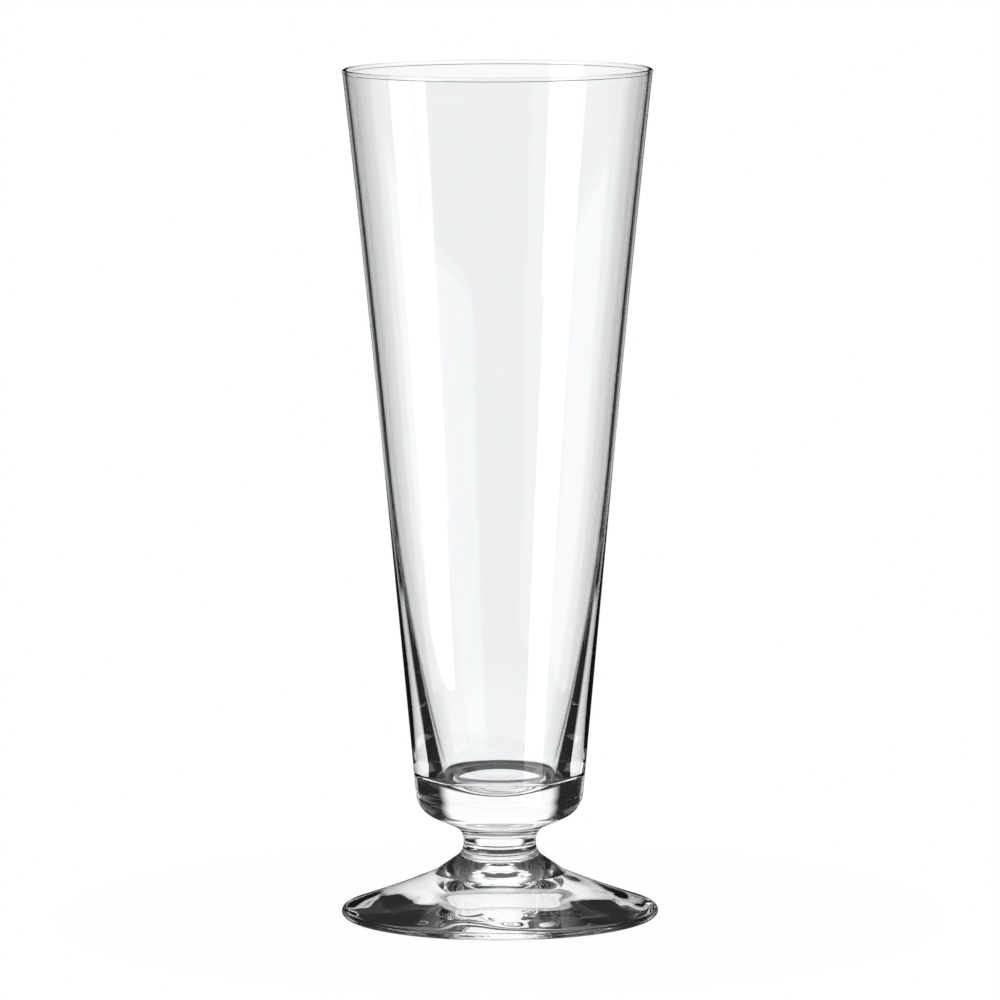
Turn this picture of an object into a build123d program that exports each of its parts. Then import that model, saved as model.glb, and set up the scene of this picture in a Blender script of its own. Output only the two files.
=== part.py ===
"""A footed pilsner glass: a blown bowl, a drawn stem and a pressed foot, fused end to end.

Millimetres, +Z up. The origin is on the table, on the glass's axis, under the middle of the foot.
Every piece is a half profile, drawn in the XZ plane and turned once about Z.
"""
import os
from math import cos, radians, sin, sqrt, tan

from build123d import *

os.makedirs("parts", exist_ok=True)

# Overall sizes
height = 208.9
rim_diameter = 76.0
foot_diameter = 78.1

# Bowl, outside: a straight taper up to mid height, then a slight flare up to the rim
middle_height = 113.0
middle_diameter = 56.5
shoulder_diameter = 40.5
shoulder_fillet = 7.0
underside_angle = 24.0

# Bowl, inside: a thin wall with a beaded rim, thickening into the base, with a dished floor
rim_wall = 0.95
rim_bead = 1.25
middle_wall = 1.35
bore_end_diameter = 28.8
bore_end_height = 35.6
crease_diameter = 22.8
crease_height = 34.2
dish_height = 31.0

# Stem: a waist between two hollow curves
waist_diameter = 17.8
waist_height = 18.6
waist_length = 0.6
neck_arc = 4.0
neck_weld_turn = 42.0
flare_arc = 4.3
flare_angle = 35.0
ring_diameter = 32.6

# Foot: a shallow cone with a full-round edge and a bell-shaped hollow underneath
cone_hollow = 0.24
edge_radius = 1.05
edge_angle = 19.5
bearing_width = 2.6
hollow_height = 7.0

# Worked out from the sizes above
waist_radius = waist_diameter / 2
ring_radius = ring_diameter / 2
neck_centre = (waist_radius + neck_arc, waist_height)
flare_centre = (waist_radius + flare_arc, waist_height - waist_length)
weld_radius = neck_centre[0] - neck_arc * cos(radians(neck_weld_turn))
weld_height = waist_height + neck_arc * sin(radians(neck_weld_turn))
flare_turn = 90 - flare_angle
flare_end_radius = flare_centre[0] - flare_arc * cos(radians(flare_turn))
flare_end_height = flare_centre[1] - flare_arc * sin(radians(flare_turn))
ring_height = flare_end_height - (ring_radius - flare_end_radius) * tan(radians(flare_angle))
bearing_radius = foot_diameter / 2 - edge_radius
bead_radius = rim_bead / 2
bead_drop = sqrt(bead_radius**2 - (rim_wall / 2) ** 2)

# Bowl: blown, with a heavy solid base below the dished floor
with BuildPart() as bowl:
    with BuildSketch(Plane.XZ):
        with BuildLine():
            weld = Line((0, weld_height), (weld_radius, weld_height))
            neck_turn = 90 - underside_angle
            neck = CenterArc(neck_centre, neck_arc, 180 - neck_weld_turn, neck_weld_turn - neck_turn)
            shoulder_rise = (shoulder_diameter / 2 - (neck @ 1).X) * tan(radians(underside_angle))
            shoulder = Vector(shoulder_diameter / 2, (neck @ 1).Y + shoulder_rise)
            middle = Vector(middle_diameter / 2, middle_height)
            FilletPolyline(neck @ 1, shoulder, middle, radius=shoulder_fillet)
            taper = (middle - shoulder).normalized()
            rim_top = Vector(rim_diameter / 2 - bead_radius, height)
            rim_outside = rim_top + (rim_wall / 2, -bead_radius - bead_drop)
            TangentArc(middle, rim_outside, tangent=taper)
            bead = ThreePointArc(rim_outside, rim_top, rim_outside - (rim_wall, 0))
            middle_inside = middle + taper.rotate(Axis.Z, 90) * middle_wall
            TangentArc(middle_inside, bead @ 1, tangent=taper)
            bore_end = Vector(bore_end_diameter / 2, bore_end_height)
            bore = TangentArc(middle_inside, bore_end, tangent=-taper)
            crease = Vector(crease_diameter / 2, crease_height)
            TangentArc(bore_end, crease, tangent=bore % 1)
            dish = TangentArc((0, dish_height), crease, tangent=(1, 0))
            Line(dish @ 0, weld @ 0)
        make_face()
    revolve(axis=Axis.Z)
bowl.part.label = "bowl"
export_step(bowl.part, "parts/bowl.step")

# Stem: solid, from the weld under the bowl down to the ring on the foot
with BuildPart() as stem:
    with BuildSketch(Plane.XZ):
        with BuildLine():
            upper = CenterArc(neck_centre, neck_arc, 180 - neck_weld_turn, neck_weld_turn)
            lower = CenterArc(flare_centre, flare_arc, 180, flare_turn)
            Line(upper @ 1, lower @ 0)
            slope = Line(lower @ 1, (ring_radius, ring_height))
            Polyline(slope @ 1, (0, ring_height), (0, weld_height), upper @ 0)
        make_face()
    revolve(axis=Axis.Z)
stem.part.label = "stem"
export_step(stem.part, "parts/stem.step")

# Foot: a hollow-backed cone that stands on a narrow flat ring
with BuildPart() as foot:
    with BuildSketch(Plane.XZ):
        with BuildLine():
            edge = CenterArc((bearing_radius, edge_radius), edge_radius, -90, 180 - edge_angle)
            cone = SagittaArc(edge @ 1, (ring_radius, ring_height), cone_hollow)
            hollow_edge = Vector(bearing_radius - bearing_width, 0)
            crown = TangentArc((0, hollow_height), hollow_edge / 2 + (0, hollow_height / 2), tangent=(1, 0))
            TangentArc(crown @ 1, hollow_edge, tangent=crown % 1)
            Line(hollow_edge, edge @ 0)
            Polyline(cone @ 1, (0, ring_height), crown @ 0)
        make_face()
    revolve(axis=Axis.Z)
foot.part.label = "foot"
export_step(foot.part, "parts/foot.step")
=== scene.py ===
from math import acos, atan2, ceil, cos, degrees, hypot, pi, radians, sin, tan

import bpy
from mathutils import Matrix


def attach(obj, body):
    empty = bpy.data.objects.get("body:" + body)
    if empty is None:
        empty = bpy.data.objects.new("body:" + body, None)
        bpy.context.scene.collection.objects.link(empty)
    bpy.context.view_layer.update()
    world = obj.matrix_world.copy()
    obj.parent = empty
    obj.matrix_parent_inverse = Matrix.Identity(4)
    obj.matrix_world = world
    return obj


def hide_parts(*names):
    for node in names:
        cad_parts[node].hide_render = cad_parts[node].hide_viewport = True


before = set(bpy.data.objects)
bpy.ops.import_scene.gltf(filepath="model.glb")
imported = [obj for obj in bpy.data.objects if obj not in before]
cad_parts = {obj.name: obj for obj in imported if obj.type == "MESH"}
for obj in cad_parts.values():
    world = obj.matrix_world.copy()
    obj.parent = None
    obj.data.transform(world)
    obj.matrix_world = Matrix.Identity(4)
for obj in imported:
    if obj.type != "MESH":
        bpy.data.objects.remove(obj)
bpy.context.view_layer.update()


# Bowl
# Blown soda-lime glass: a thin tapering wall that thickens into a heavy solid base with a dished floor.
# It is blown in a turning mould, so it is truly round, and its cut rim is fire-polished to a bead.
# Its half profile is drawn in millimetres, as points of radius and height, and turned about Z.
MM = 0.001


def arc(centre, radius, start, turn, step=4.0):
    """Points of a circular arc in the half profile; start, turn and step are in degrees."""
    count = max(2, ceil(abs(turn) / step))
    angles = [radians(start + turn * i / count) for i in range(count + 1)]
    return [(centre[0] + radius * cos(a), centre[1] + radius * sin(a)) for a in angles]


def leaving(point, heading, end, count, straight=0.01):
    """Points of the arc that leaves a point in a heading, in degrees, and passes through the end.

    Where the end lies straight ahead, to within the last value's degrees, they are a line's points.
    """
    across, up = end[0] - point[0], end[1] - point[1]
    bend = degrees(atan2(up, across)) - heading
    bend = (bend + 180) % 360 - 180
    if abs(bend) < straight:
        return [(point[0] + across * i / count, point[1] + up * i / count) for i in range(count + 1)]
    radius = hypot(across, up) / 2 / sin(radians(bend))
    centre = (point[0] - radius * sin(radians(heading)), point[1] + radius * cos(radians(heading)))
    angles = [radians(heading - 90 + 2 * bend * i / count) for i in range(count + 1)]
    return [(centre[0] + radius * cos(a), centre[1] + radius * sin(a)) for a in angles]


def turned(name, profile, steps=256, crease=18.0, same=0.001):
    """A round piece: a ring of points is laid along the half profile, opened at the axis and spun about Z.

    Points of the profile that are the same, in millimetres, are one, and edges past the crease stay sharp.
    """
    outline = [profile[0]]
    for point in profile[1:]:
        if hypot(point[0] - outline[-1][0], point[1] - outline[-1][1]) > same:
            outline.append(point)
    bpy.ops.object.select_all(action="DESELECT")
    bpy.ops.mesh.primitive_circle_add(vertices=len(outline))
    piece = bpy.context.object
    piece.name = name
    piece.data.name = name
    for vertex, (r, z) in zip(piece.data.vertices, outline):
        vertex.co = (r * MM, 0.0, z * MM)
    bpy.ops.object.mode_set(mode="EDIT")
    bpy.ops.mesh.select_all(action="DESELECT")
    bpy.ops.object.mode_set(mode="OBJECT")
    for edge in piece.data.edges:
        edge.select = set(edge.vertices) == {0, len(outline) - 1}
    bpy.ops.object.mode_set(mode="EDIT")
    bpy.ops.mesh.select_mode(type="EDGE")
    bpy.ops.mesh.delete(type="EDGE")
    bpy.ops.mesh.select_all(action="SELECT")
    bpy.ops.mesh.spin(steps=steps, angle=2 * pi, center=(0, 0, 0), axis=(0, 0, 1))
    bpy.ops.mesh.select_all(action="SELECT")
    bpy.ops.mesh.remove_doubles(threshold=2 * same * MM)
    bpy.ops.mesh.normals_make_consistent(inside=False)
    bpy.ops.object.mode_set(mode="OBJECT")
    bpy.ops.object.shade_smooth_by_angle(angle=radians(crease))
    return piece


# Outside: up from the weld under the base, round the neck and the shoulder, then the taper and the flare.
neck_centre, neck_arc, neck_weld_turn = (12.9, 18.6), 4.0, 42.0
underside_angle, shoulder_radius, shoulder_fillet = 24.0, 20.25, 7.0
middle, rim_radius, top = (28.25, 113.0), 38.0, 208.9
weld_turn = 180 - neck_weld_turn
neck = arc(neck_centre, neck_arc, weld_turn, neck_weld_turn - (90 - underside_angle))
weld = neck[0]
shoulder_rise = (shoulder_radius - neck[-1][0]) * tan(radians(underside_angle))
shoulder = (shoulder_radius, neck[-1][1] + shoulder_rise)
taper = degrees(atan2(middle[1] - shoulder[1], middle[0] - shoulder[0]))
reach = shoulder_fillet * tan(radians(taper - underside_angle) / 2)
fillet_start = (shoulder[0] - reach * cos(radians(underside_angle)),
                shoulder[1] - reach * sin(radians(underside_angle)))
fillet_end = (shoulder[0] + reach * cos(radians(taper)), shoulder[1] + reach * sin(radians(taper)))

# Rim: a bead a little thicker than the wall below it.
rim_wall, rim_bead = 0.95, 1.25
bead_centre = (rim_radius - rim_bead / 2, top - rim_bead / 2)
bead_drop = degrees(acos(rim_wall / rim_bead))
bead = arc(bead_centre, rim_bead / 2, -bead_drop, 180 + 2 * bead_drop, step=10)
rim_outside, rim_inside = bead[0], bead[-1]

# Inside: the flare and the bore leave the wall's middle up and down, and the bore ends in the dished floor.
middle_wall = 1.35
bore_end, crease_ring, dish_bottom = (14.4, 35.6), (11.4, 34.2), (0.0, 31.0)
middle_inside = (middle[0] - middle_wall * sin(radians(taper)),
                 middle[1] + middle_wall * cos(radians(taper)))
inner_flare = leaving(middle_inside, taper, rim_inside, 24)
bore = leaving(middle_inside, taper + 180, bore_end, 32)
bore_heading = degrees(atan2(bore[-1][1] - bore[-2][1], bore[-1][0] - bore[-2][0]))
dish = leaving(dish_bottom, 0.0, crease_ring, 14)
bowl_profile = (
    [(0.0, weld[1]), (weld[0] / 2, weld[1])] + neck
    + leaving(fillet_start, underside_angle, fillet_end, 20)
    + leaving(fillet_end, taper, middle, 24)
    + leaving(middle, taper, rim_outside, 24)
    + bead + inner_flare[::-1] + bore + leaving(bore_end, bore_heading, crease_ring, 14) + dish[::-1])
bowl = turned("bowl_glass", bowl_profile)


def linear(code):
    """An sRGB hex colour as the linear values that a shader takes."""
    channels = [int(code[i:i + 2], 16) / 255 for i in (0, 2, 4)]
    return tuple(c / 12.92 if c <= 0.04045 else ((c + 0.055) / 1.055) ** 2.4 for c in channels) + (1.0,)


def add(tree, kind, settings=None, links=None):
    """Adds a node, sets its properties and input values, and links the inputs that other nodes feed."""
    node = tree.nodes.new(kind)
    for name, value in (settings or {}).items():
        if hasattr(node, str(name)):
            setattr(node, name, value)
        else:
            node.inputs[name].default_value = value
    for name, source in (links or {}).items():
        tree.links.new(source, node.inputs[name])
    return node


def new_material(name):
    """An empty material and its node tree."""
    material = bpy.data.materials.new(name)
    material.use_nodes = True
    material.node_tree.nodes.clear()
    return material, material.node_tree


# Clear soda-lime glass: colourless, index 1.52 and fire-polished, so it shows only what it bends and mirrors.
# Just the hollow under the foot is uneven: it keeps the slow waves of the pressing, and a tool mark in the
# middle. Both are bump, on the faces that lie under a shallow cone between the foot's two sides.
wave_length, wave_mean, ripple_depth = 14 * MM, 0.5, 0.8 * MM
mark_radius, mark_slope, mark_blunt = 11 * MM, 0.30, 3 * MM
cone_top, cone_fall, cone_blur = 8.0 * MM, 0.16, 0.4 * MM
uneven_to, even_from = 29 * MM, 36 * MM
mark_rise = mark_slope / ripple_depth
clear_glass, tree = new_material("clear_glass")
place = add(tree, "ShaderNodeTexCoord")
axes = add(tree, "ShaderNodeSeparateXYZ", None, {0: place.outputs["Object"]})
flat = add(tree, "ShaderNodeVectorMath", {
    "operation": "MULTIPLY_ADD", 1: (1.0, 1.0, 0.0), 2: (0.0, 0.0, mark_blunt)}, {0: place.outputs["Object"]})
out = add(tree, "ShaderNodeVectorMath", {"operation": "LENGTH"}, {0: flat.outputs[0]})
over = add(tree, "ShaderNodeMath", {"operation": "MULTIPLY_ADD", 1: cone_fall}, {
    0: out.outputs["Value"], 2: axes.outputs["Z"]})
below = add(tree, "ShaderNodeMapRange", {
    "From Min": cone_top - cone_blur, "From Max": cone_top + cone_blur, "To Min": 1.0, "To Max": 0.0}, {
    "Value": over.outputs[0]})
within = add(tree, "ShaderNodeMapRange", {
    "interpolation_type": "SMOOTHSTEP", "From Min": uneven_to, "From Max": even_from,
    "To Min": 1.0, "To Max": 0.0}, {"Value": out.outputs["Value"]})
hollow_side = add(tree, "ShaderNodeMath", {"operation": "MULTIPLY"}, {
    0: below.outputs[0], 1: within.outputs[0]})
waves = add(tree, "ShaderNodeTexNoise", {"Scale": 1 / wave_length, "Detail": 0.0}, {
    "Vector": place.outputs["Object"]})
inward = add(tree, "ShaderNodeMath", {"operation": "MINIMUM", 1: mark_radius}, {0: out.outputs["Value"]})
marked = add(tree, "ShaderNodeMath", {"operation": "MULTIPLY_ADD", 1: mark_rise}, {
    0: inward.outputs[0], 2: waves.outputs["Fac"]})
level = add(tree, "ShaderNodeMath", {"operation": "SUBTRACT", 1: mark_radius * mark_rise + wave_mean}, {
    0: marked.outputs[0]})
uneven = add(tree, "ShaderNodeMath", {"operation": "MULTIPLY"}, {
    0: level.outputs[0], 1: hollow_side.outputs[0]})
ripple = add(tree, "ShaderNodeBump", {"Strength": 1.0, "Distance": ripple_depth}, {
    "Height": uneven.outputs[0]})
glass = add(tree, "ShaderNodeBsdfPrincipled", {
    "Base Color": linear("FCFDFE"), "Roughness": 0.0, "IOR": 1.52, "Transmission Weight": 1.0}, {
    "Normal": ripple.outputs["Normal"]})
add(tree, "ShaderNodeOutputMaterial", None, {"Surface": glass.outputs["BSDF"]})

# The fused joint: inside the welded glass nothing is left to see, so light goes straight through its faces.
fused, tree = new_material("fused_joint")
through = add(tree, "ShaderNodeBsdfTransparent")
add(tree, "ShaderNodeOutputMaterial", None, {"Surface": through.outputs["BSDF"]})


def glaze(piece, *weld_heights, near=0.01):
    """Gives a piece the clear glass, and its welded end faces, found by their height, the fused joint."""
    piece.data.materials.append(clear_glass)
    piece.data.materials.append(fused)
    for face in piece.data.polygons:
        heights = [piece.data.vertices[i].co.z / MM for i in face.vertices]
        for weld_height in weld_heights:
            if max(abs(height - weld_height) for height in heights) < near:
                face.material_index = 1


glaze(bowl, weld[1])
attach(bowl, "root")
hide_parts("bowl")

# Stem
# A short waisted shank of solid glass between the bowl's base and the foot.
# It is drawn hot and fused to both, so its two end faces vanish in the joints.
flare_centre, flare_arc, flare_angle, ring_radius = (13.2, 18.0), 4.3, 35.0, 16.3
upper = arc(neck_centre, neck_arc, weld_turn, neck_weld_turn)
lower = arc(flare_centre, flare_arc, 180, 90 - flare_angle)
ring = (ring_radius, lower[-1][1] - (ring_radius - lower[-1][0]) * tan(radians(flare_angle)))
slope = leaving(lower[-1], -flare_angle, ring, 6)
stem_profile = ([(0.0, weld[1]), (weld[0] / 2, weld[1])] + upper + lower + slope
                + [(ring_radius / 2, ring[1]), (0.0, ring[1])])
stem = turned("stem_glass", stem_profile)
glaze(stem, weld[1], ring[1])
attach(stem, "root")
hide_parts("stem")

# Foot
# A round foot of solid glass, pressed hot in a mould: a shallow cone above, a hollow underneath.
# It stands on a narrow flat ring, and its edge is fire-polished to a full round.
foot_radius, edge_radius, edge_angle, bearing_width = 39.05, 1.05, 19.5, 2.6
cone_hollow, hollow_height = 0.24, 7.0
bearing = foot_radius - edge_radius
edge = arc((bearing, edge_radius), edge_radius, -90, 180 - edge_angle, step=10)
cone_end = edge[-1]
cone_out, cone_up = cone_end[0] - ring[0], cone_end[1] - ring[1]
cone_bend = degrees(2 * atan2(2 * cone_hollow, hypot(cone_out, cone_up)))
cone = leaving(ring, degrees(atan2(cone_up, cone_out)) - cone_bend, cone_end, 24)
hollow_edge = (bearing - bearing_width, 0.0)
hollow_turn = (hollow_edge[0] / 2, hollow_height / 2)
hollow_slope = 2 * degrees(atan2(hollow_height, hollow_edge[0]))
hollow = (leaving((0.0, hollow_height), 0.0, hollow_turn, 16)
          + leaving(hollow_turn, -hollow_slope, hollow_edge, 16))
foot_profile = [(0.0, ring[1]), (ring_radius / 2, ring[1])] + cone + edge[::-1] + hollow[::-1]
foot = turned("foot_glass", foot_profile)
glaze(foot, ring[1])
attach(foot, "root")
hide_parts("foot")


# Floor
# A small round white stand under the glass. It shows as white as the background behind it,
# and keeps a faint trace of the glass's shadow.
def disc(name, radius, level):
    """A flat round sheet of the staging, lying at a level and centred under the glass."""
    bpy.ops.object.select_all(action="DESELECT")
    bpy.ops.mesh.primitive_circle_add(vertices=96, radius=radius, fill_type="NGON", location=(0, 0, level))
    sheet = bpy.context.object
    sheet.name = name
    return sheet


floor_radius, floor_level, own_white = 0.11, -0.0002, 0.95
floor = disc("floor", floor_radius, floor_level)
white_stand, tree = new_material("white_stand")
paths = add(tree, "ShaderNodeLightPath")
matt = add(tree, "ShaderNodeBsdfDiffuse", {"Color": linear("FAFAFA")})
share = add(tree, "ShaderNodeMath", {"operation": "MULTIPLY", 1: own_white}, {
    0: paths.outputs["Is Camera Ray"]})
glow = add(tree, "ShaderNodeEmission", {"Color": linear("FFFFFF"), "Strength": 1.0})
mixed = add(tree, "ShaderNodeMixShader", None, {
    0: share.outputs[0], 1: matt.outputs[0], 2: glow.outputs[0]})
add(tree, "ShaderNodeOutputMaterial", None, {"Surface": mixed.outputs[0]})
floor.data.materials.append(white_stand)
floor.visible_transmission = False
floor.visible_glossy = False


def glowing(name, strength):
    """A material that gives off even white light."""
    material, tree = new_material(name)
    light = add(tree, "ShaderNodeEmission", {"Color": linear("FFFFFF"), "Strength": strength})
    add(tree, "ShaderNodeOutputMaterial", None, {"Surface": light.outputs[0]})
    return material


def show_in_glass(sheet, mirrored):
    """Stages a sheet that shows through the glass alone, and on its surface too where it is mirrored."""
    sheet.visible_camera = False
    sheet.visible_diffuse = False
    sheet.visible_shadow = False
    sheet.visible_glossy = mirrored


# Through the glass a white pad shows under the foot, and a dark table top lower down round it.
for name, radius, level, strength, mirrored in (
        ("pad", 0.026, -0.0004, 1.0, False), ("table", floor_radius, -0.03, 0.06, True)):
    sheet = disc(name, radius, level)
    sheet.data.materials.append(glowing(name, strength))
    show_in_glass(sheet, mirrored)

# Studio
# A plain white background for the camera and for matt surfaces. Only the glass sees the room round it:
# dark at its own height, white well below and in a top light, with white panels and three strip softboxes.

# The room's limits are heights of a ray's direction. A ray that went straight through, with no mirroring
# inside the glass, meets the white below sooner, so that the thin wall stays clear when seen from above.
room_dark = 0.02
below_white, below_dark = -0.62, -0.52
top_dark, top_white = 0.62, 0.72
straight_sooner, mirrored_once = 0.28, 0.5
world = bpy.data.worlds.new("studio")
bpy.context.scene.world = world
world.use_nodes = True
tree = world.node_tree
tree.nodes.clear()
paths = add(tree, "ShaderNodeLightPath")
place = add(tree, "ShaderNodeTexCoord")
axes = add(tree, "ShaderNodeSeparateXYZ", None, {0: place.outputs["Generated"]})
straight = add(tree, "ShaderNodeMath", {"operation": "LESS_THAN", 1: mirrored_once}, {
    0: paths.outputs["Glossy Depth"]})
steepness = add(tree, "ShaderNodeMath", {"operation": "MULTIPLY_ADD", 1: -straight_sooner}, {
    0: straight.outputs[0], 2: axes.outputs["Z"]})
low = add(tree, "ShaderNodeMapRange", {
    "interpolation_type": "SMOOTHSTEP", "From Min": below_white, "From Max": below_dark,
    "To Min": 1.0, "To Max": room_dark}, {"Value": steepness.outputs[0]})
high = add(tree, "ShaderNodeMapRange", {
    "interpolation_type": "SMOOTHSTEP", "From Min": top_dark, "From Max": top_white,
    "To Min": 0.0, "To Max": 1.0}, {"Value": axes.outputs["Z"]})
glow = add(tree, "ShaderNodeMath", {"operation": "ADD"}, {0: low.outputs[0], 1: high.outputs[0]})
by_glass = add(tree, "ShaderNodeMath", {"operation": "MAXIMUM"}, {
    0: paths.outputs["Is Glossy Ray"], 1: paths.outputs["Is Transmission Ray"]})
around = add(tree, "ShaderNodeBackground", {"Color": linear("FFFFFF")}, {"Strength": glow.outputs[0]})
plain = add(tree, "ShaderNodeBackground", {"Color": linear("FFFFFF"), "Strength": 1.0})
mixed = add(tree, "ShaderNodeMixShader", None, {
    0: by_glass.outputs[0], 1: plain.outputs[0], 2: around.outputs[0]})
add(tree, "ShaderNodeOutputWorld", None, {"Surface": mixed.outputs[0]})

# White panels behind the glass, at its sides and before it, which show only through the glass. Each is given
# by its turn from the camera, width, height and strength, and fades into the room at shares of its width out
# from the middle. Above its lowest part the back panel is narrower for light that was mirrored inside the
# wall, which draws the dark lines down the bowl's edges.
panel_away, panel_bottom = 0.6, -0.28
fade_from, fade_to = 0.32, 0.47
narrow_from, narrow_to = 0.14, 0.19
for name, turn, width, tall, strength, narrower in (
        ("panel_back", 180.0, 0.88, 0.66, 1.05, 0.18), ("panel_left", -90.0, 0.56, 0.50, 1.0, 0.0),
        ("panel_right", 90.0, 0.56, 0.50, 1.0, 0.0), ("panel_front", 45.0, 0.56, 0.50, 1.0, 0.0)):
    bpy.ops.object.select_all(action="DESELECT")
    bpy.ops.mesh.primitive_plane_add(size=1.0)
    panel = bpy.context.object
    panel.name = name
    panel.scale = (width, tall, 1.0)
    panel.rotation_euler = (pi / 2, 0.0, radians(turn))
    panel.location = (
        panel_away * sin(radians(turn)), -panel_away * cos(radians(turn)), panel_bottom + tall / 2)
    white, tree = new_material(name)
    paths = add(tree, "ShaderNodeLightPath")
    place = add(tree, "ShaderNodeTexCoord")
    axes = add(tree, "ShaderNodeSeparateXYZ", None, {0: place.outputs["Generated"]})
    off_middle = add(tree, "ShaderNodeMath", {"operation": "SUBTRACT", 1: 0.5}, {0: axes.outputs["X"]})
    aside = add(tree, "ShaderNodeMath", {"operation": "ABSOLUTE"}, {0: off_middle.outputs[0]})
    narrowing = add(tree, "ShaderNodeMapRange", {
        "interpolation_type": "SMOOTHSTEP", "From Min": narrow_from / tall, "From Max": narrow_to / tall,
        "To Min": 0.0, "To Max": narrower}, {"Value": axes.outputs["Y"]})
    mirrored = add(tree, "ShaderNodeMath", {"operation": "GREATER_THAN", 1: mirrored_once}, {
        0: paths.outputs["Glossy Depth"]})
    narrowed = add(tree, "ShaderNodeMath", {"operation": "MULTIPLY_ADD"}, {
        0: narrowing.outputs[0], 1: mirrored.outputs[0], 2: aside.outputs[0]})
    fade = add(tree, "ShaderNodeMapRange", {
        "interpolation_type": "SMOOTHSTEP", "From Min": fade_from, "From Max": fade_to,
        "To Min": strength, "To Max": room_dark}, {"Value": narrowed.outputs[0]})
    light = add(tree, "ShaderNodeEmission", {"Color": linear("FFFFFF")}, {"Strength": fade.outputs[0]})
    add(tree, "ShaderNodeOutputMaterial", None, {"Surface": light.outputs[0]})
    panel.data.materials.append(white)
    show_in_glass(panel, False)

# Three strip softboxes, mirrored in the bowl as the white bands down it. Each is given by the turn from the
# camera and the height of its upper and lower end, half the turn that it spans, and its lower end's slant.
strip_away, strip_strength = 1.0, 3.0
soft_white = glowing("softbox", strip_strength)
for name, upper_end, lower_end, half_span, slant in (
        ("softbox_left", (-72.0, 0.15), (-72.0, -0.218), 16.0, 0.028),
        ("softbox_right", (60.0, 0.05), (43.0, -0.36), 13.0, 0.0),
        ("softbox_high", (-56.5, 0.70), (-56.5, 0.25), 14.5, 0.0)):
    bpy.ops.object.select_all(action="DESELECT")
    bpy.ops.mesh.primitive_plane_add(size=1.0)
    strip = bpy.context.object
    strip.name = name
    for corner in strip.data.vertices:
        side = 1 if corner.co.x > 0 else -1
        turn, level = upper_end if corner.co.y > 0 else lower_end
        if corner.co.y < 0:
            level -= side * slant
        turn = radians(turn + side * half_span)
        corner.co = (strip_away * sin(turn), -strip_away * cos(turn), level)
    strip.data.materials.append(soft_white)
    show_in_glass(strip, True)

# Camera
# A long lens nearly two metres away, a little above the rim, tilted down at the middle of the glass.
# Light is followed for ten bounces: past that, what is led along inside the wall adds only glitter.
tilt_down, roll = 6.641, -0.17
bounces, clear_bounces = 10, 24
camera_data = bpy.data.cameras.new("camera")
camera_data.sensor_width = 36.0
camera_data.lens = 272.57
camera = bpy.data.objects.new("camera", camera_data)
camera.location = (0.00031, -1.847, 0.318)
camera.rotation_euler = (radians(90 - tilt_down), 0.0, 0.0)
camera.rotation_euler.rotate_axis("Z", radians(roll))
scene = bpy.context.scene
scene.collection.objects.link(camera)
scene.camera = camera
scene.view_settings.view_transform = "Standard"
scene.cycles.max_bounces = bounces
scene.cycles.glossy_bounces = bounces
scene.cycles.transmission_bounces = bounces
scene.cycles.transparent_max_bounces = clear_bounces
